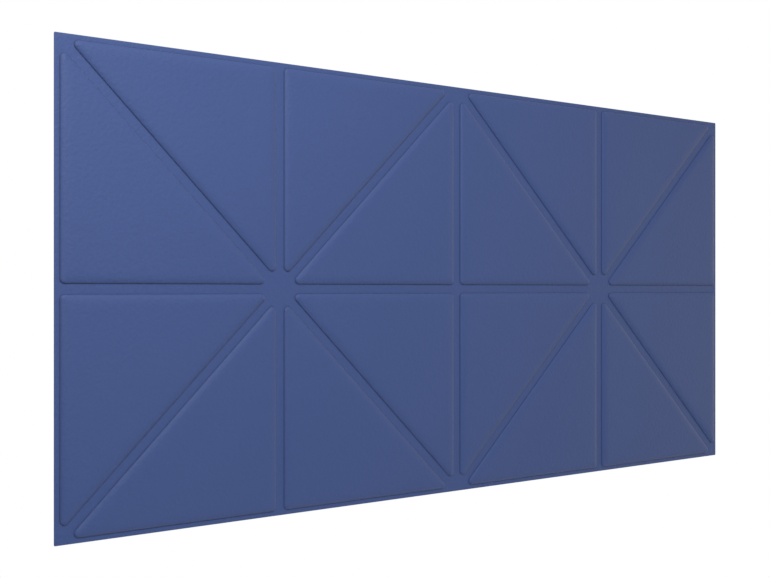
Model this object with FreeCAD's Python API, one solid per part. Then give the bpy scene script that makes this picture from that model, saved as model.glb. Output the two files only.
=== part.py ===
import FreeCAD, Part
import math
import os

from FreeCAD import Vector

# A padded panel that hangs flat on a wall and is punched and kicked.
# Millimetres. +X runs right along the wall as seen from the front, +Y goes into the wall, +Z is up.
# The origin lies on the wall plane, at the middle of the panel's width and height.

# the padded face
cell = 500.0                    # side of one square of the face's pattern
columns, rows = 4, 2            # squares across and up
channel = 22.0                  # width of the flat channels between the strike pads
corner_radius = 9.0             # corners of a strike pad
pad_rise = 7.0                  # height of the strike pads above the channels
pad_shoulder = 6.0              # rounding of their top edges

# the layers, from the wall outwards
stand_off = 8.0                 # wall to the back of the board, bridged by clips and buffers
board = 12.0
base_foam = 25.0
top_foam = 13.0
skin = 1.0                      # coated fabric of the cover and of the pads' skins
side_draw_in = 20.0             # degrees by which the four sides lean in towards the wall
turn_over = 40.0                # margin of the cover folded on to the back of the board
foam_ease = 0.2                 # a strike pad's foam is cut this much smaller than its skin

# the hanging clips: equal Z-shaped clips, of which the panel's hook over the wall's
clip_length = 160.0
clip_gauge = 2.5
clip_foot = 28.0                # height of the plate that is screwed on
clip_hook = 12.0                # depth of the slot behind a hook
clip_columns = (-750.0, 0.0, 750.0)
clip_rows = {"upper": 380.0, "middle": 0.0, "lower": -380.0}
hook_clearance = 0.3            # between the two hooked plates
tip_chamfer = 0.8
clip_holes = (-60.0, 60.0)      # from the middle of a clip
clip_hole_radius = 2.75

# wood screws that hold the panel's clips to the board
screw_radius = 2.5
screw_point = 3.5
screw_depth = 9.0               # reach into the board
pilot_radius = 1.75
head_radius = 4.5
head_height = 3.0
recess_length, recess_width, recess_depth = 4.8, 1.0, 1.6

# staples that hold the cover's folded margin
staple_crown = 10.0
staple_leg = 8.0
staple_width, staple_wire = 1.2, 0.6
staple_inset = 24.0             # from the board's edge to the row of staples
staple_pitch = 76.0

# rubber buffers on the board's back, which bear on the wall between the clips
buffer_radius = 25.0
buffer_gap = 0.5                # left to the wall, so that the panel can be lifted
buffer_rounding = 1.5
buffer_places = [(x, z) for x in (-900.0, -375.0, 375.0, 900.0) for z in (-190.0, 190.0)]

# planes and sizes that follow from the above
half_width = columns * cell / 2
half_height = rows * cell / 2
board_back = -stand_off
board_front = board_back - board
foam_joint = board_front - base_foam
foam_front = foam_joint - top_foam
cover_face = foam_front - skin
pad_top = cover_face - pad_rise
margin_face = board_back + skin
lean = math.tan(math.radians(side_draw_in))
skin_across = skin / math.cos(math.radians(side_draw_in))
hook_offset = (stand_off + hook_clearance) / 2      # wall plane to the back of a wall clip's hook
hook_top = clip_foot / 2 + clip_hook                # above the middle of its foot
pair_rise = hook_top + clip_foot / 2                # from a wall clip's middle to its partner's


def drawn_in(y, inside):
    """How far the sides have come in at depth y, outside or inside the cover."""
    return lean * (y - cover_face) + (skin_across if inside else 0.0)


def slab(y_front, y_back, inside=True):
    """A layer of the panel, whose four sides lean in towards the wall."""
    front, back = drawn_in(y_front, inside), drawn_in(y_back, inside)
    return Part.makeWedge(
        front - half_width, y_front, front - half_height, back - half_height, back - half_width,
        half_width - front, y_back, half_height - front, half_height - back, half_width - back,
    )


def box(x_low, x_high, y_low, y_high, z_low, z_high):
    size = (x_high - x_low, y_high - y_low, z_high - z_low)
    return Part.makeBox(*size, Vector(x_low, y_low, z_low))


def rod(radius, x, z, y_low, y_high):
    """A cylinder along Y."""
    return Part.makeCylinder(radius, y_high - y_low, Vector(x, y_low, z), Vector(0, 1, 0))


def pad_places():
    """Right-angled corner and leg directions of each strike pad, along the top row, then the bottom.

    Every square is cut in two along the diagonal that runs to the nearer star centre.
    """
    places = []
    for up in (1, -1):
        for star in (-cell, cell):
            places += [
                (star - cell, 0.0, 1, up),
                (star, up * cell, -1, -up),
                (star, up * cell, 1, -up),
                (star + cell, 0.0, -1, up),
            ]
    return places


def pad_solid(place, take_in, y_top):
    """A three-cornered pad with rounded corners and a rounded top edge, take_in smaller all round."""
    corner_x, corner_z, along_x, along_z = place
    radius = corner_radius - take_in
    near = channel / 2 + corner_radius
    far = cell - near * (1 + math.sqrt(2))
    sharp = Part.Face(Part.makePolygon([
        Vector(corner_x + along_x * u, cover_face, corner_z + along_z * v)
        for u, v in ((near, near), (far, near), (near, far), (near, near))
    ]))
    solid = sharp.makeOffset2D(radius).extrude(Vector(0, y_top - cover_face, 0))
    rim = [edge for edge in solid.Edges if edge.BoundBox.YMax < y_top + 0.01]
    return solid.makeFillet(pad_shoulder - take_in, rim)


def make_pad_skin(place):
    """Coated fabric formed over a pad's foam and welded to the cover along its foot."""
    return pad_solid(place, 0.0, pad_top).cut(pad_solid(place, skin, pad_top + skin)).Solids[0]


def make_strike_foam(place):
    take_in = skin + foam_ease
    return pad_solid(place, take_in, pad_top + take_in)


def make_cover():
    """One flat sheet, drawn round the sides and folded on to the board's back."""
    edge = drawn_in(board_back, True) + turn_over
    window = box(edge - half_width, half_width - edge, board_back - skin, margin_face + skin,
                 edge - half_height, half_height - edge)
    outside = slab(cover_face, margin_face, inside=False)
    return outside.cut([slab(foam_front, board_back), window]).Solids[0]


def make_clip():
    """A Z-shaped clip on the wall, about the middle of its foot, with its hook standing up."""
    step = clip_foot / 2
    back, front = -hook_offset, -hook_offset - clip_gauge
    section = [
        (0.0, -step), (-clip_gauge, -step), (-clip_gauge, step - clip_gauge),
        (front, step - clip_gauge), (front, hook_top - tip_chamfer),
        (front + tip_chamfer, hook_top), (back - tip_chamfer, hook_top),
        (back, hook_top - tip_chamfer), (back, step), (0.0, step), (0.0, -step),
    ]
    outline = Part.makePolygon([Vector(-clip_length / 2, y, z) for y, z in section])
    bar = Part.Face(outline).extrude(Vector(clip_length, 0, 0))
    holes = [rod(clip_hole_radius, x, 0.0, -clip_gauge - 1.0, 1.0) for x in clip_holes]
    return bar.cut(holes).Solids[0]


def make_wall_clips(height):
    clips = [make_clip() for _ in clip_columns]
    for clip, x in zip(clips, clip_columns):
        clip.translate(Vector(x, 0, height))
    return Part.makeCompound(clips)


def make_panel_clips(height):
    """The same clips turned upside down and back to front on the board, above their partners."""
    clips = [make_clip() for _ in clip_columns]
    for clip, x in zip(clips, clip_columns):
        clip.rotate(Vector(0, 0, 0), Vector(1, 0, 0), 180)
        clip.translate(Vector(x, board_back, height + pair_rise))
    return Part.makeCompound(clips)


def screw_places():
    return [(x + hole, z + pair_rise)
            for z in clip_rows.values() for x in clip_columns for hole in clip_holes]


def make_board():
    pilots = [rod(pilot_radius, x, z, board_back - screw_depth, board_back + 1)
              for x, z in screw_places()]
    return slab(board_front, board_back).cut(pilots).Solids[0]


def make_screw(x, z):
    """A short pan-head wood screw with a cross recess, driven into the board's back."""
    tip, seat = board_back - screw_depth, board_back + clip_gauge
    top = seat + head_height
    corners = [
        Vector(0, tip, 0), Vector(screw_radius, tip + screw_point, 0), Vector(screw_radius, seat, 0),
        Vector(head_radius, seat, 0), Vector(head_radius, seat + head_height / 2, 0),
    ]
    dome = (head_radius ** 2 + (head_height / 2) ** 2) / head_height
    halfway = math.asin(head_radius / dome) / 2
    middle = Vector(dome * math.sin(halfway), top - dome * (1 - math.cos(halfway)), 0)
    crown = Part.Arc(corners[-1], middle, Vector(0, top, 0)).toShape()
    edges = [Part.makeLine(a, b) for a, b in zip(corners, corners[1:])]
    outline = Part.Wire(edges + [crown, Part.makeLine(Vector(0, top, 0), corners[0])])
    screw = Part.Face(outline).revolve(Vector(0, 0, 0), Vector(0, 1, 0), 360)
    long, wide, floor = recess_length / 2, recess_width / 2, top - recess_depth
    recess = [
        box(-long, long, floor, top + 1, -wide, wide),
        box(-wide, wide, floor, top + 1, -long, long),
    ]
    screw = screw.cut(recess)
    screw.translate(Vector(x, 0, z))
    return screw.Solids[0]


def make_staple(x, z, upright):
    """A wire staple through the folded margin, lying across or upright."""
    half, thick = staple_crown / 2, staple_width / 2
    crown = box(-half, half, margin_face, margin_face + staple_wire, -thick, thick)
    legs = [box(x_low, x_low + staple_wire, margin_face - staple_leg, margin_face, -thick, thick)
            for x_low in (-half, half - staple_wire)]
    staple = crown.multiFuse(legs).removeSplitter()
    if upright:
        staple.rotate(Vector(0, 0, 0), Vector(0, 1, 0), 90)
    staple.translate(Vector(x, 0, z))
    return staple.Solids[0]


def spread(length):
    """Evenly spaced places along an edge, about one staple pitch apart."""
    count = int(length // staple_pitch)
    return [(i - (count - 1) / 2) * length / count for i in range(count)]


def make_staples():
    line = drawn_in(board_back, True) + staple_inset
    side, top = half_width - line, half_height - line
    across = [make_staple(x, z, False) for z in (-top, top) for x in spread(2 * side)]
    upright = [make_staple(x, z, True) for x in (-side, side) for z in spread(2 * top)]
    return Part.makeCompound(across + upright)


def make_buffer(x, z):
    disc = rod(buffer_radius, x, z, board_back, -buffer_gap)
    rim = [edge for edge in disc.Edges if edge.BoundBox.YMin > -buffer_gap - 0.01]
    return disc.makeFillet(buffer_rounding, rim)


def make_nodes():
    nodes = {
        "front_cover": make_cover(),
        "top_foam_layer": slab(foam_front, foam_joint),
        "base_foam_layer": slab(foam_joint, board_front),
        "backing_board": make_board(),
        "cover_staples": make_staples(),
        "clip_screws": Part.makeCompound([make_screw(x, z) for x, z in screw_places()]),
        "wall_buffers": Part.makeCompound([make_buffer(x, z) for x, z in buffer_places]),
    }
    for number, place in enumerate(pad_places(), 1):
        nodes[f"pad_skin_{number:02d}"] = make_pad_skin(place)
        nodes[f"strike_foam_{number:02d}"] = make_strike_foam(place)
    for row, height in clip_rows.items():
        nodes[f"panel_clips_{row}"] = make_panel_clips(height)
        nodes[f"wall_clips_{row}"] = make_wall_clips(height)
    return nodes


os.makedirs("parts", exist_ok=True)
for name, shape in make_nodes().items():
    shape.exportStep(f"parts/{name}.step")
    depth = shape.BoundBox
    print(f"{name:20s} {len(shape.Solids):3d} solids  valid {shape.isValid()}  {shape.Volume / 1e3:9.1f} cm3"
          f"  y {depth.YMin:7.2f} to {depth.YMax:6.2f}")
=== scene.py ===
import bpy
import bmesh
import math
from mathutils import Matrix, Vector, noise


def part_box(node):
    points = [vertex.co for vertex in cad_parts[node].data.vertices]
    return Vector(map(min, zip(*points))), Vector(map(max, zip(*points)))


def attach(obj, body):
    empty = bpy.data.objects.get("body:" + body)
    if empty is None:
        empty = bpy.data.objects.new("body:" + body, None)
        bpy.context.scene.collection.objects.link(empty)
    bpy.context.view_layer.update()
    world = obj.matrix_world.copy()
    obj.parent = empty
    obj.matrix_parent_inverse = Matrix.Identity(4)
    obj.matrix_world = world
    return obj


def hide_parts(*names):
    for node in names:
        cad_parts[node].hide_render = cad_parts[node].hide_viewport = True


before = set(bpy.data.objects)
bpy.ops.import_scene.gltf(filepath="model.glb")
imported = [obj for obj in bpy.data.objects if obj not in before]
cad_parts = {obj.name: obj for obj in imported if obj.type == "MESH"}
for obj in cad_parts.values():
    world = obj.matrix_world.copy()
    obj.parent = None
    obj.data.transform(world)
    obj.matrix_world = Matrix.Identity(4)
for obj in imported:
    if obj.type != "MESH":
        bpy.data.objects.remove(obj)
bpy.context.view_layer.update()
scene = bpy.context.scene
print("frame loaded:", len(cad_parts), "nodes")


# materials: shader maths and the nodes of one finish

class Value:
    # one output socket, so that maths on it reads as plain expressions
    def __init__(self, finish, socket):
        self.finish, self.socket = finish, socket

    def calc(self, operation, first, second):
        return self.finish.add("Math", {"operation": operation}, {0: first, 1: second})

    def __add__(self, other):
        return self.calc("ADD", self, other)

    def __sub__(self, other):
        return self.calc("SUBTRACT", self, other)

    def __rsub__(self, other):
        return self.calc("SUBTRACT", other, self)

    def __mul__(self, other):
        return self.calc("MULTIPLY", self, other)

    __radd__ = __add__


class Finish:
    # a material while it is put together
    def __init__(self, name):
        self.material = bpy.data.materials.new(name)
        self.material.use_nodes = True
        self.tree = self.material.node_tree
        self.tree.nodes.clear()
        self.place = self.add("TexCoord", out="Object")

    def add(self, kind, settings={}, sockets={}, out=0):
        node = self.tree.nodes.new("ShaderNode" + kind)
        for key, setting in settings.items():
            setattr(node, key, setting)
        for key, value in sockets.items():
            if isinstance(value, Value):
                self.tree.links.new(value.socket, node.inputs[key])
            elif isinstance(value, tuple) and node.inputs[key].type == "RGBA":
                node.inputs[key].default_value = (*value, 1.0)
            else:
                node.inputs[key].default_value = value
        return Value(self, node.outputs[out])

    def stretched(self, x, y, z):
        return self.add("Mapping", {}, {"Vector": self.place, "Scale": (x, y, z)})

    def cloud(self, size, detail=2.0, roughness=0.5, place=None):
        sockets = {"Vector": place or self.place, "Scale": 1 / size,
                   "Detail": detail, "Roughness": roughness}
        return self.add("TexNoise", {}, sockets)

    def ramp(self, value, low, high, lowest=0.0, highest=1.0):
        sockets = {"Value": value, "From Min": low, "From Max": high,
                   "To Min": lowest, "To Max": highest}
        return self.add("MapRange", {"interpolation_type": "SMOOTHSTEP"}, sockets)

    def mix(self, share, first, second):
        return self.add("Mix", {"data_type": "RGBA"}, {0: share, 6: first, 7: second}, out=2)

    def bump(self, height, strength, distance, under=None):
        sockets = {"Height": height, "Strength": strength, "Distance": distance}
        if under:
            sockets["Normal"] = under
        return self.add("Bump", {}, sockets)

    def done(self, sockets):
        shader = self.add("BsdfPrincipled", {}, sockets)
        output = self.tree.nodes.new("ShaderNodeOutputMaterial")
        self.tree.links.new(shader.socket, output.inputs["Surface"])
        return self.material


vinylPlan = {
    "colour": (0.0565, 0.1010, 0.288),
    "worn": (0.068, 0.115, 0.303),
    # dark colour for the painted shade along each pad's foot, where the crease lies in shade; the
    # darker rims of the grain's cells use it too
    "crease": (0.026, 0.048, 0.145),
    "face": -0.059,            # the channels' depth in Y, from which heights are counted
    "cell": 0.0011,            # size of the embossed cells
    "wander": 0.0006, "wanderScale": 420.0,    # how far the cells stray from a regular net
    "cellRim": 0.22,           # width of the dip round a cell, as a share of it
    "cellDepth": 0.00012, "cellStrength": 0.12, "cellTone": 0.22,
    "broad": 0.34, "hand": 0.06,               # sizes of the patches in tone and roughness
    "pebble": 0.0080, "pebbleDepth": 0.0013, "pebbleStrength": 0.8,
    # the first tone here sets how strongly painted shade darkens each pad's foot
    "creaseShadeTone": 0.8, "wornTone": 0.12, "shoulderTone": 0.10,
    "roughness": 0.58, "index": 1.47, "specular": 0.42,
    "sheen": 0.34, "sheenRoughness": 0.42, "sheenTint": (1.0, 0.90, 0.78),
}


def makeVinyl():
    plan = vinylPlan
    vinyl = Finish("blueCoatedFabric")
    stray = vinyl.add("TexNoise", {}, {"Vector": vinyl.place, "Scale": plan["wanderScale"],
                                       "Detail": 1.0}, out="Color")
    wander = vinyl.add("VectorMath", {"operation": "SCALE"}, {0: stray, "Scale": plan["wander"]})
    place = vinyl.add("VectorMath", {"operation": "ADD"}, {0: vinyl.place, 1: wander})
    cells = vinyl.add("TexVoronoi", {"feature": "DISTANCE_TO_EDGE"},
                      {"Vector": place, "Scale": 1 / plan["cell"], "Randomness": 1.0})
    grain = vinyl.ramp(cells, 0.0, plan["cellRim"])
    broad = vinyl.cloud(plan["broad"], 2.0)
    hand = vinyl.cloud(plan["hand"], 3.0, 0.6)
    height = vinyl.add("SeparateXYZ", {}, {0: vinyl.place}, out="Y") * -1000.0 + plan["face"] * 1000.0
    # painted shade: the lowest half millimetre of each pad, along its foot, is darkened towards the
    # crease colour
    crease = vinyl.ramp(height, 0.5, 0.2) * vinyl.ramp(height, 0.01, 0.04)    # millimetres
    shoulder = vinyl.ramp(height, 3.5, 6.0) * vinyl.ramp(hand, 0.45, 0.75)
    tone = vinyl.mix(vinyl.ramp(broad, 0.3, 0.7, 0.0, plan["wornTone"]), plan["colour"], plan["worn"])
    tone = vinyl.mix(shoulder * plan["shoulderTone"], tone, plan["worn"])
    tone = vinyl.mix((1 - grain) * plan["cellTone"], tone, plan["crease"])
    # painted shade in the crease along each pad's foot
    tone = vinyl.mix(crease * plan["creaseShadeTone"], tone, plan["crease"])
    rough = plan["roughness"] + (broad - 0.5) * 0.08 + (hand - 0.5) * 0.06 + (1 - grain) * 0.08
    pebble = vinyl.cloud(plan["pebble"], 2.0, 0.55)
    normal = vinyl.bump(pebble, plan["pebbleStrength"], plan["pebbleDepth"])
    normal = vinyl.bump(grain, plan["cellStrength"], plan["cellDepth"], normal)
    return vinyl.done({
        "Base Color": tone, "Roughness": rough, "Normal": normal,
        "IOR": plan["index"], "Specular IOR Level": plan["specular"], "Sheen Weight": plan["sheen"],
        "Sheen Roughness": plan["sheenRoughness"], "Sheen Tint": plan["sheenTint"],
    })


woodPlan = {
    "pale": (0.72, 0.55, 0.36), "base": (0.60, 0.42, 0.24),
    "ring": (0.46, 0.29, 0.15), "grain": (0.50, 0.34, 0.19), "pore": (0.30, 0.18, 0.09),
    "figureSize": 0.09, "grainSize": 0.010, "poreSize": 0.0016,
    "figureStretch": 0.12, "grainStretch": 0.035, "ringStretch": 0.10, "poreStretch": 0.05,    # along X
    "ringScale": 6.0, "ringDistortion": 14.0,
    "ringTone": 0.35, "grainTone": 0.30, "poreTone": 0.45,
    "roughness": 0.62, "strength": 0.25, "depth": 0.0004,
}


def makePlywood():
    plan = woodPlan
    wood = Finish("birchPlywood")
    grain = wood.cloud(plan["grainSize"], 4.0, 0.6, wood.stretched(plan["grainStretch"], 1.0, 1.0))
    figure = wood.cloud(plan["figureSize"], 3.0, 0.55, wood.stretched(plan["figureStretch"], 1.0, 1.0))
    rings = wood.add("TexWave", {"wave_type": "BANDS", "bands_direction": "Z"}, {
        "Vector": wood.stretched(plan["ringStretch"], 1.0, 1.0), "Scale": plan["ringScale"],
        "Distortion": plan["ringDistortion"], "Detail": 2.0, "Detail Scale": 0.7})
    specks = wood.cloud(plan["poreSize"], 2.0, 0.5, wood.stretched(plan["poreStretch"], 1.0, 1.0))
    pores = wood.ramp(specks, 0.62, 0.74)
    tone = wood.mix(wood.ramp(figure, 0.3, 0.7), plan["base"], plan["pale"])
    tone = wood.mix(wood.ramp(rings, 0.55, 1.0) * plan["ringTone"], tone, plan["ring"])
    tone = wood.mix(wood.ramp(grain, 0.35, 0.75) * plan["grainTone"], tone, plan["grain"])
    tone = wood.mix(pores * plan["poreTone"], tone, plan["pore"])
    rough = plan["roughness"] + (grain - 0.5) * 0.2
    normal = wood.bump(grain - pores * 0.6, plan["strength"], plan["depth"])
    return wood.done({"Base Color": tone, "Roughness": rough, "Normal": normal})


def makeFoam(name, colour, shade, cell):
    foam = Finish(name)
    cells = foam.add("TexVoronoi", {"feature": "F1"}, {"Vector": foam.place, "Scale": 1 / cell})
    fine = foam.cloud(cell * 2.5, 3.0, 0.6)
    tone = foam.mix(foam.ramp(cells, 0.1, 0.75), colour, shade)
    tone = foam.mix(foam.ramp(foam.cloud(0.12), 0.35, 0.7) * 0.3, tone, shade)
    normal = foam.bump(cells + fine * 0.4, 0.6, 0.0006)
    return foam.done({"Base Color": tone, "Roughness": 0.88 + (fine - 0.5) * 0.15, "Normal": normal,
                      "Specular IOR Level": 0.25})


def makeMetal(name, colour, roughness, along, grain=0.0006, spots=0.0):
    # along stretches the marks in X, as a die or a brush leaves them
    metal = Finish(name)
    depth = 0.00006
    lines = metal.cloud(grain, 2.0, 0.5, metal.stretched(1 / along, 1.0, 1.0))
    stain = metal.cloud(0.030, 3.0, 0.6)
    darker = tuple(0.72 * c for c in colour)
    tone = metal.mix(metal.ramp(stain, 0.35, 0.75) * 0.35, colour, darker)
    tone = metal.mix(metal.ramp(metal.cloud(0.0025, 2.0), 0.62, 0.75) * spots, tone, darker)
    rough = roughness + (lines - 0.5) * 0.18 + (stain - 0.5) * 0.14
    return metal.done({"Base Color": tone, "Metallic": 1.0, "Roughness": rough,
                       "Normal": metal.bump(lines, 0.35, depth)})


def makeRubber():
    rubber = Finish("blackRubber")
    fine = rubber.cloud(0.0007, 2.0)
    dust = rubber.ramp(rubber.cloud(0.014, 4.0, 0.65), 0.45, 0.8)
    tone = rubber.mix(dust * 0.5, (0.018, 0.018, 0.019), (0.075, 0.072, 0.068))
    return rubber.done({"Base Color": tone, "Roughness": 0.70 + dust * 0.18,
                        "Normal": rubber.bump(fine, 0.4, 0.0002)})


finishes = {
    "cover_vinyl": makeVinyl(),
    "plywood": makePlywood(),
    "top_foam": makeFoam("softFoam", (0.80, 0.77, 0.66), (0.60, 0.55, 0.42), 0.0012),
    "base_foam": makeFoam("firmFoam", (0.16, 0.17, 0.19), (0.08, 0.085, 0.10), 0.0020),
    "clip_aluminium": makeMetal("extrudedAluminium", (0.80, 0.81, 0.82), 0.36, 60.0),
    "zinc_steel": makeMetal("zincPlatedSteel", (0.66, 0.67, 0.66), 0.30, 1.0, spots=0.5),
    "staple_wire": makeMetal("stapleWire", (0.58, 0.58, 0.57), 0.34, 4.0, grain=0.0003),
    "buffer_rubber": makeRubber(),
}
print("finishes made:", len(finishes))


# pieces: what every new one needs

def newPiece(name, mesh, slotName, body="panel"):
    piece = bpy.data.objects.new(name, mesh)
    scene.collection.objects.link(piece)
    mesh.materials.clear()
    mesh.materials.append(finishes[slotName])
    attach(piece, body)
    return piece


def ranks(values, apart=1e-7):
    # values closer together than apart count as equal
    order = sorted(range(len(values)), key=values.__getitem__)
    found = [0] * len(values)
    for before, after in zip(order, order[1:]):
        found[after] = found[before] + (values[after] - values[before] > apart)
    return found


def meshOf(form, name):
    # points and faces in a fixed order, because the editing operators leave them in any order
    # and the cloth solver's result depends on it
    bmesh.ops.recalc_face_normals(form, faces=form.faces[:])
    verts = form.verts[:]
    rankX, rankZ = (ranks([v.co[axis] for v in verts]) for axis in (0, 2))
    order = sorted(range(len(verts)), key=lambda i: (rankX[i], rankZ[i], verts[i].co.y))
    number = {verts[i]: place for place, i in enumerate(order)}
    faces = []
    for face in form.faces:
        corners = [number[v] for v in face.verts]
        first = corners.index(min(corners))
        faces.append(corners[first:] + corners[:first])
    mesh = bpy.data.meshes.new(name)
    mesh.from_pydata([verts[i].co[:] for i in order], [], sorted(faces))
    crease = form.edges.layers.float.get("crease_edge")
    if crease:
        creased = {frozenset(number[v] for v in e.verts) for e in form.edges if e[crease] > 0}
        layer = mesh.attributes.new("crease_edge", "FLOAT", "EDGE")
        layer.data.foreach_set("value", [float(frozenset(e.vertices) in creased) for e in mesh.edges])
    form.free()
    return mesh


def everything(form):
    return form.verts[:] + form.edges[:] + form.faces[:]


def extrudeRow(form, row):
    # the new points and the new row of edges
    grown = bmesh.ops.extrude_edge_only(form, edges=row)["geom"]
    fresh = {g for g in grown if isinstance(g, bmesh.types.BMVert)}
    return fresh, [g for g in grown if isinstance(g, bmesh.types.BMEdge) and set(g.verts) <= fresh]


def roundEdges(form, edges, radius, segments):
    bmesh.ops.bevel(form, geom=edges, offset=radius, segments=segments, affect="EDGES", profile=0.5,
                    material=-1)


def shadeSmooth(mesh, sharpFrom=None):
    # edges that turn by more than sharpFrom degrees stay sharp
    mesh.polygons.foreach_set("use_smooth", [True] * len(mesh.polygons))
    if sharpFrom:
        mesh.set_sharp_from_angle(angle=math.radians(sharpFrom))


# strike pads: one form, swollen by a cloth simulation, then turned into its sixteen places

padPlan = {
    "cornerRadius": 0.009,
    "gridStep": 0.006,
    # the shoulder before it swells, from the rim of the top to the weld line:
    # millimetres in from the outline, and up
    "shoulder": [(9.0, 5.66), (6.3, 5.14), (4.3, 4.61), (2.9, 4.08), (1.8, 3.51), (1.0, 2.94),
                 (0.45, 2.36), (0.1, 1.66), (0.0, 1.0), (0.10, 0.42), (0.28, 0.14), (-0.3, 0.12),
                 (-1.1, 0.10), (-1.25, 0.0)],
    "startRise": 0.00566,      # the shoulder's first height, in metres
    "crown": 0.00074, "crownRun": 0.0052,      # how the top rises on from there, towards the middle
    "squareSteps": 8, "slantSteps": 12,        # facets round a corner of 90 and of 135 degrees
    "pressure": 1.0,
    "stretchStiffness": 400.0,
    "bendStiffness": 20.0,
    "frames": 20,
    "heldHeight": 0.0002,      # the foot's points below this are held
    "swell": 0.0006,           # the most that a point moves
    "unevenness": 0.00010,
    "unevenFull": 0.006,       # the height at which it is full
    "unevenScales": (9.0, 23.0),
    "fill": 0.95,
}


def growShoulder(form, row, outward):
    profile = padPlan["shoulder"]
    for (insideA, heightA), (insideB, heightB) in zip(profile, profile[1:]):
        fresh, row = extrudeRow(form, row)
        step = outward * (insideA - insideB) + Vector((0, heightA - heightB, 0))
        bmesh.ops.translate(form, verts=list(fresh), vec=step / 1000)


def turnCorner(form, corner, outward, degrees, steps):
    # the shoulder's section at a corner, spun round it
    across = Vector((outward.z, 0, -outward.x))
    section = {v for v in form.verts
               if abs((v.co - corner).dot(across)) < 1e-6 and (v.co - corner).dot(outward) > -1e-6}
    edges = [e for e in form.edges if set(e.verts) <= section]
    bmesh.ops.spin(form, geom=list(section) + edges, cent=corner, axis=(0, 1, 0), dvec=(0, 0, 0),
                   angle=math.radians(degrees), steps=steps, use_merge=False, use_duplicate=False)


def makePadForm(leg):
    # right-angled corner of the flat top at the origin, legs along X and Z, front towards -Y
    form = bmesh.new()
    points = [Vector((0, 0, 0)), Vector((leg, 0, 0)), Vector((0, 0, leg))]
    form.faces.new([form.verts.new(point) for point in points])
    cuts = round(leg / padPlan["gridStep"])
    for i in range(1, cuts):
        for way in (Vector((1, 0, 0)), Vector((0, 0, 1))):
            bmesh.ops.bisect_plane(form, geom=everything(form), dist=1e-6,
                                   plane_co=way * (leg * i / cuts), plane_no=way)
    for vert in form.verts:
        inside = max(min(vert.co.x, vert.co.z, (leg - vert.co.x - vert.co.z) / math.sqrt(2)), 0.0)
        vert.co.y = -padPlan["crown"] * (1 - math.exp(-inside / padPlan["crownRun"]))
    down, left, slant = Vector((0, 0, -1)), Vector((-1, 0, 0)), Vector((1, 0, 1)).normalized()
    rim = {outward[:]: [e for e in form.edges if e.is_boundary
                        and all(abs((v.co - start).dot(outward)) < 1e-6 for v in e.verts)]
           for outward, start in ((down, points[0]), (left, points[0]), (slant, points[1]))}
    for outward in (down, left, slant):
        growShoulder(form, rim[outward[:]], outward)
    turnCorner(form, points[0], down, 90, padPlan["squareSteps"])
    turnCorner(form, points[2], left, 135, padPlan["slantSteps"])
    turnCorner(form, points[1], slant, 135, padPlan["slantSteps"])
    bmesh.ops.remove_doubles(form, verts=form.verts[:], dist=1e-5)
    crease = form.edges.layers.float.new("crease_edge")
    foot = [e for e in form.edges if e.is_boundary]
    for edge in foot:
        edge[crease] = 1.0
    bmesh.ops.holes_fill(form, edges=foot, sides=0)
    return form


def swell(piece):
    # Cloth under pressure, held along its foot; each point's movement levels off at the plan's swell
    foot = padPlan["startRise"] - padPlan["heldHeight"]
    held = [v.index for v in piece.data.vertices if v.co.y > foot]
    piece.vertex_groups.new(name="foot").add(held, 1.0, "REPLACE")
    cloth = piece.modifiers.new("cloth", "CLOTH")
    cloth.settings.vertex_group_mass = "foot"
    cloth.settings.tension_stiffness = padPlan["stretchStiffness"]
    cloth.settings.compression_stiffness = padPlan["stretchStiffness"]
    cloth.settings.bending_stiffness = padPlan["bendStiffness"]
    cloth.settings.use_pressure = True
    cloth.settings.uniform_pressure_force = padPlan["pressure"]
    cloth.settings.effector_weights.gravity = 0
    cloth.point_cache.frame_start, cloth.point_cache.frame_end = 1, padPlan["frames"]
    for step in range(1, padPlan["frames"] + 1):
        scene.frame_set(step)
    swollen = piece.evaluated_get(bpy.context.evaluated_depsgraph_get()).to_mesh()
    for vertex, moved in zip(piece.data.vertices, swollen.vertices):
        way = moved.co - vertex.co
        if way.length > 1e-9:
            vertex.co += way.normalized() * padPlan["swell"] * math.tanh(way.length / padPlan["swell"])
    piece.modifiers.remove(cloth)
    scene.frame_set(1)


def smoothed(piece, name):
    # one subdivision, applied
    finer = piece.modifiers.new("finer", "SUBSURF")
    finer.levels = finer.render_levels = 1
    evaluated = piece.evaluated_get(bpy.context.evaluated_depsgraph_get())
    mesh = bpy.data.meshes.new_from_object(evaluated)
    mesh.name = name
    return mesh


def makePadMesh(side):
    radius = padPlan["cornerRadius"]
    form = makePadForm(side - 2 * radius)
    mesh = meshOf(form, "padForm")
    rough = bpy.data.objects.new("padForm", mesh)
    scene.collection.objects.link(rough)
    swell(rough)
    mesh = smoothed(rough, "strikePad")
    bpy.data.objects.remove(rough)
    mesh.transform(Matrix.Translation((radius, -padPlan["startRise"], radius)))
    return mesh


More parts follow.
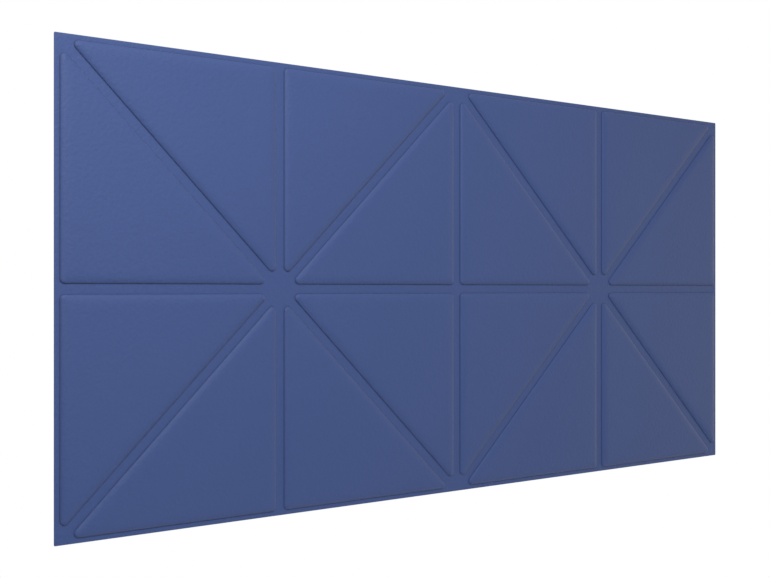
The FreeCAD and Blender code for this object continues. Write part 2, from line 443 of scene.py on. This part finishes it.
def placePads():
    facing = [(along, up) for row in (1, -1) for _ in range(2)
              for along, up in ((1, row), (-1, -row), (1, -row), (-1, row))]
    quarter = {(1, 1): 0, (1, -1): 90, (-1, -1): 180, (-1, 1): 270}
    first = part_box("pad_skin_01")
    shape = makePadMesh(first[1].x - first[0].x)
    broad, close = padPlan["unevenScales"]
    for number, (along, up) in enumerate(facing, 1):
        low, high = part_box(f"pad_skin_{number:02d}")
        corner = Vector((low.x if along > 0 else high.x, high.y, low.z if up > 0 else high.z))
        turn = Matrix.Rotation(math.radians(quarter[along, up]), 4, "Y")
        mesh = shape.copy()
        mesh.transform(Matrix.Translation(corner) @ turn)
        for vertex in mesh.vertices:
            lift = min(max((high.y - vertex.co.y) / padPlan["unevenFull"], 0.0), 1.0) ** 2
            wave = noise.noise(vertex.co * broad) + 0.5 * noise.noise(vertex.co * close)
            vertex.co.y -= lift * wave * padPlan["unevenness"]
        shadeSmooth(mesh)
        piece = newPiece(f"strikePad{number:02d}", mesh, "cover_vinyl")
        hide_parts(f"pad_skin_{number:02d}", f"strike_foam_{number:02d}")
    print("strike pads placed:", len(facing), "faces each:", len(shape.polygons))


placePads()


# cover: one sheet over the front, drawn round the sides, folded on to the back and stapled there

coverPlan = {
    "thickness": 0.001,
    "flat": (2.19, 1.19),
    "pitch": 0.0095,           # spacing of the points along an edge
    # its section from the flat front to the back's bend: millimetres in from the outline, and back
    "section": [(1.1, 0.0), (0.6, 0.07), (0.26, 0.24), (0.06, 0.53), (0.0, 0.95), (0.1, 1.7),
                (0.7, 4.0), (2.9, 9.5), (4.9, 14.5), (6.8, 19.5), (8.7, 24.5), (10.5, 29.5),
                (12.4, 34.5), (14.2, 39.5), (16.0, 44.5), (17.5, 48.6), (18.3, 50.6), (18.9, 51.6),
                (19.8, 52.0)],
    # the insets of the margin's rows on the back
    "margin": [24.0, 28.5, 33.0, 37.0, 40.5, 43.6, 47.0, 51.0, 55.0, 58.9],
    "firstInset": 0.008,       # where the flat front ends and the section's rows begin
    "cornerRound": 0.0022,
    "staplePitch": 0.076,
    "stapleHalf": 0.0006,      # from a staple's middle to its outside
    "bulge": 0.0007, "lift": 0.0006, "scallop": 0.0009,    # slack between the staples
    "slackFrom": 0.004,        # nearer to the front it is held by the foam's edge
    "slackEnd": 0.03,          # it dies out over this, towards the corners
    "slackScales": (9, 31), "slackSeed": 0.4, "slackMean": 0.75, "slackSpread": 0.9,
    "bulgeRun": 0.040,         # depth at which a side's bulge is full
    "backFrom": 0.0195,        # inset at which the back begins
    "stapleInset": 0.0436, "beyondRun": 0.0153,    # the row of staples, and the margin beyond it
    "liftRun": 0.008, "liftInner": 0.55, "liftBeyond": 0.75,
    # a tuck on the back: its inset from the outline, how far it runs, its inner corner
    "tuck": (20.2, 56.0, 50.0),
    "tuckHeight": 0.0009, "tuckSink": 0.0002, "tuckRound": 0.0004,
    "tuckSlant": (0.004, 0.012), "tuckSkew": 0.001,
}


def slackAt(along, reach):
    # 0 at a staple, most halfway to the next, and none near the corners
    plan = coverPlan
    count = int(2 * reach // plan["staplePitch"])
    wave = 0.5 - 0.5 * math.cos(2 * math.pi * (along * count / (2 * reach) + (count - 1) / 2))
    fade = min(max((reach - abs(along)) / plan["slackEnd"], 0.0), 1.0)
    alongScale, sideScale = plan["slackScales"]
    chance = noise.noise(Vector((along * alongScale, reach * sideScale, plan["slackSeed"])))
    return fade * wave * (plan["slackMean"] + plan["slackSpread"] * chance)


def loosen(form, low, half, reach):
    # lets the fabric stand a little proud between the staples, on the sides and on the back
    plan = coverPlan
    for vert in form.verts:
        depth = vert.co.y - low.y
        if depth < plan["slackFrom"]:
            continue
        insetX, insetZ = half.x - abs(vert.co.x), half.z - abs(vert.co.z)
        upright = insetX < insetZ
        along = vert.co.z if upright else vert.co.x
        slack = slackAt(along, reach.z if upright else reach.x)
        inset = min(insetX, insetZ)
        if inset < plan["backFrom"]:
            share = min(depth / plan["bulgeRun"], 1.0)
            out = plan["bulge"] * slack * math.sin(share * math.pi / 2) ** 2
            lift = 0.0
        else:
            beyond = max(inset - plan["stapleInset"], 0.0) / plan["beyondRun"]
            share = min((inset - plan["backFrom"]) / plan["liftRun"], 1.0)
            out = -plan["scallop"] * slack * beyond
            lift = plan["lift"] * slack * (plan["liftInner"] + plan["liftBeyond"] * beyond) * share
        vert.co.y += lift
        if upright:
            vert.co.x += math.copysign(out, vert.co.x)
        else:
            vert.co.z += math.copysign(out, vert.co.z)


def tuckCorners(form, half, top):
    # the spare fabric at each corner of the back, folded flat beside the last staples
    plan = coverPlan
    near, along, inner = (inset / 1000 for inset in plan["tuck"])
    slantX, slantZ = plan["tuckSlant"]
    points = [(near, near), (along, near), (along + slantX, near + slantZ),
              (inner, inner - plan["tuckSkew"])]
    level = top - plan["tuckSink"]
    for sideX in (-1, 1):
        for sideZ in (-1, 1):
            corners = [form.verts.new((sideX * (half.x - x), level, sideZ * (half.z - z)))
                       for x, z in points]
            flap = form.faces.new(corners)
            grown = bmesh.ops.extrude_face_region(form, geom=[flap])["geom"]
            raised = [g for g in grown if isinstance(g, bmesh.types.BMVert)]
            bmesh.ops.translate(form, verts=raised, vec=(0, plan["tuckHeight"], 0))
            upper = [g for g in grown if isinstance(g, bmesh.types.BMEdge)]
            roundEdges(form, upper, plan["tuckRound"], 2)


def makeCover():
    low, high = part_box("front_cover")
    half = (high - low) / 2
    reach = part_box("cover_staples")[1] - Vector((coverPlan["stapleHalf"], 0, coverPlan["stapleHalf"]))
    form = bmesh.new()
    start = coverPlan["firstInset"]
    ring = [form.verts.new((x * (half.x - start), low.y, z * (half.z - start)))
            for x, z in ((-1, -1), (1, -1), (1, 1), (-1, 1))]
    sides = [form.edges.new((ring[i], ring[(i + 1) % 4])) for i in range(4)]
    for i in range(4):
        cuts = round(2 * (half.z if i % 2 else half.x) / coverPlan["pitch"]) - 1
        bmesh.ops.subdivide_edges(form, edges=[sides[i]], cuts=cuts)
    inner = row = form.edges[:]
    before, deep = start, 0.0
    section = coverPlan["section"] + [(inset, (high.y - low.y) * 1000) for inset in coverPlan["margin"]]
    for inset, depth in section:
        inset, depth = inset / 1000, depth / 1000
        fresh, row = extrudeRow(form, row)
        for vert in fresh:
            vert.co.x *= (half.x - inset) / (half.x - before)
            vert.co.z *= (half.z - inset) / (half.z - before)
            vert.co.y += depth - deep
        before, deep = inset, depth
    bmesh.ops.holes_fill(form, edges=inner, sides=0)
    corners = [e for e in form.edges
               if all(abs((half.x - abs(v.co.x)) - (half.z - abs(v.co.z))) < 1e-6 for v in e.verts)
               and 0.0001 < sum(v.co.y - low.y for v in e.verts) / 2 < high.y - low.y - 0.0001]
    roundEdges(form, corners, coverPlan["cornerRound"], 3)
    loosen(form, low, half, reach)
    bmesh.ops.recalc_face_normals(form, faces=form.faces[:])
    bmesh.ops.solidify(form, geom=form.faces[:], thickness=coverPlan["thickness"])
    tuckCorners(form, half, high.y)
    mesh = meshOf(form, "frontCover")
    shadeSmooth(mesh, 50)
    piece = newPiece("frontCover", mesh, "cover_vinyl")
    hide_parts("front_cover")
    print("cover made, faces:", len(mesh.polygons))


# foam: two slabs cut to the sides' lean, glued to the board under the cover

foamPlan = {
    "topFoam": {"node": "top_foam_layer", "slot": "top_foam", "uneven": 0.0004},
    "baseFoam": {"node": "base_foam_layer", "slot": "base_foam", "uneven": 0.0003},
    "draw": 20.0,              # degrees that the sides lean in
    "rounding": 0.0012, "grid": 0.05,
    "waveScale": 13.0,         # of the cut faces' unevenness
}


def makeFoamSlab(name):
    plan = foamPlan[name]
    low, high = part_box(plan["node"])
    size = high - low
    form = bmesh.new()
    bmesh.ops.create_cube(form, size=1.0)
    bmesh.ops.scale(form, verts=form.verts[:], vec=size)
    bmesh.ops.translate(form, verts=form.verts[:], vec=(low + high) / 2)
    draw = math.tan(math.radians(foamPlan["draw"])) * size.y
    for vert in form.verts:
        if vert.co.y > low.y + size.y / 2:
            vert.co.x -= math.copysign(draw, vert.co.x)
            vert.co.z -= math.copysign(draw, vert.co.z)
    roundEdges(form, form.edges[:], foamPlan["rounding"], 2)
    for way, reach in ((Vector((1, 0, 0)), size.x), (Vector((0, 0, 1)), size.z)):
        cuts = round(reach / foamPlan["grid"])
        for i in range(1, cuts):
            bmesh.ops.bisect_plane(form, geom=everything(form), dist=1e-6,
                                   plane_co=way * (i / cuts - 0.5) * reach, plane_no=way)
    for vert in form.verts:
        inward = plan["uneven"] * (0.5 + 0.5 * noise.noise(vert.co * foamPlan["waveScale"]))
        vert.co.y += inward if vert.co.y < low.y + size.y / 2 else -inward
    mesh = meshOf(form, name)
    shadeSmooth(mesh, 50)
    piece = newPiece(name, mesh, plan["slot"])
    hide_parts(plan["node"])


for name in ("topFoam", "baseFoam"):
    makeFoamSlab(name)
print("foam slabs made")
makeCover()


# the CAD nodes that stay
for slotName, nodeNames in {
    "plywood": ["backing_board"],
    "staple_wire": ["cover_staples"],
    "zinc_steel": ["clip_screws"],
    "buffer_rubber": ["wall_buffers"],
    "clip_aluminium": [f"{side}_clips_{row}" for side in ("wall", "panel")
                       for row in ("upper", "middle", "lower")],
}.items():
    for nodeName in nodeNames:
        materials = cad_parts[nodeName].data.materials
        materials.clear()
        materials.append(finishes[slotName])
print("CAD nodes finished")


# room: floor, lights, world and camera

roomPlan = {
    "floorDrop": 1.50, "floorSize": 4.4, "floorTones": ((0.84, 0.84, 0.84), (0.88, 0.88, 0.88)),
    "key": {"at": (-1.38, -2.05, 1.52), "size": 1.5, "power": 56.0, "colour": (1.0, 1.0, 1.0)},
    "card": {"at": (2.8, -1.45, 0.0), "size": 2.2, "power": 11.0, "colour": (1.0, 0.97, 0.93)},
    "back": {"at": (1.5, 3.2, 2.2), "size": 2.4, "power": 60.0, "colour": (1.0, 1.0, 1.0)},
    "ambient": 0.228,          # the world's strength for everything but the camera
    "drift": (0.11, 0.0, 0.10),    # how that rises to the right and up
    "cameraAt": (-1.6643, -2.1275, 0.0), "cameraTurn": (90, 0, -35), "lens": 50.0, "sensor": 36.0,
}


def makeRoom():
    form = bmesh.new()
    bmesh.ops.create_circle(form, cap_ends=True, segments=96, radius=roomPlan["floorSize"] / 2)
    bmesh.ops.translate(form, verts=form.verts[:], vec=(0, 0, -roomPlan["floorDrop"]))
    floor = bpy.data.objects.new("floor", meshOf(form, "floor"))
    scene.collection.objects.link(floor)
    paint = Finish("paleFloor")
    tone = paint.mix(paint.ramp(paint.cloud(0.5), 0.3, 0.7), *roomPlan["floorTones"])
    floor.data.materials.append(paint.done({"Base Color": tone, "Roughness": 0.7}))
    for name in ("key", "card", "back"):
        plan = roomPlan[name]
        light = bpy.data.objects.new(name, bpy.data.lights.new(name, "AREA"))
        light.data.size, light.data.energy = plan["size"], plan["power"]
        light.data.color = plan["colour"]
        light.location = plan["at"]
        light.rotation_euler = (-Vector(plan["at"])).to_track_quat("-Z", "Y").to_euler()
        scene.collection.objects.link(light)
    world = bpy.data.worlds.new("studio")
    world.use_nodes = True
    scene.world = world
    nodes, links = world.node_tree.nodes, world.node_tree.links
    background = nodes["Background"]
    rays = nodes.new("ShaderNodeLightPath")
    toward = nodes.new("ShaderNodeTexCoord")
    drift = nodes.new("ShaderNodeVectorMath")
    drift.operation = "DOT_PRODUCT"
    drift.inputs[1].default_value = roomPlan["drift"]
    links.new(toward.outputs["Generated"], drift.inputs[0])
    around = nodes.new("ShaderNodeMath")
    around.inputs[1].default_value = roomPlan["ambient"]
    links.new(drift.outputs["Value"], around.inputs[0])
    strength = nodes.new("ShaderNodeMapRange")
    links.new(rays.outputs["Is Camera Ray"], strength.inputs["Value"])
    links.new(around.outputs[0], strength.inputs["To Min"])
    strength.inputs["To Max"].default_value = 1.0
    background.inputs["Color"].default_value = (1, 1, 1, 1)
    links.new(strength.outputs[0], background.inputs["Strength"])
    scene.view_settings.view_transform = "Standard"


def makeCamera():
    camera = bpy.data.objects.new("camera", bpy.data.cameras.new("camera"))
    scene.collection.objects.link(camera)
    camera.data.lens, camera.data.sensor_width = roomPlan["lens"], roomPlan["sensor"]
    camera.location = roomPlan["cameraAt"]
    camera.rotation_euler = [math.radians(turn) for turn in roomPlan["cameraTurn"]]
    scene.camera = camera


makeRoom()
makeCamera()
print("room made")
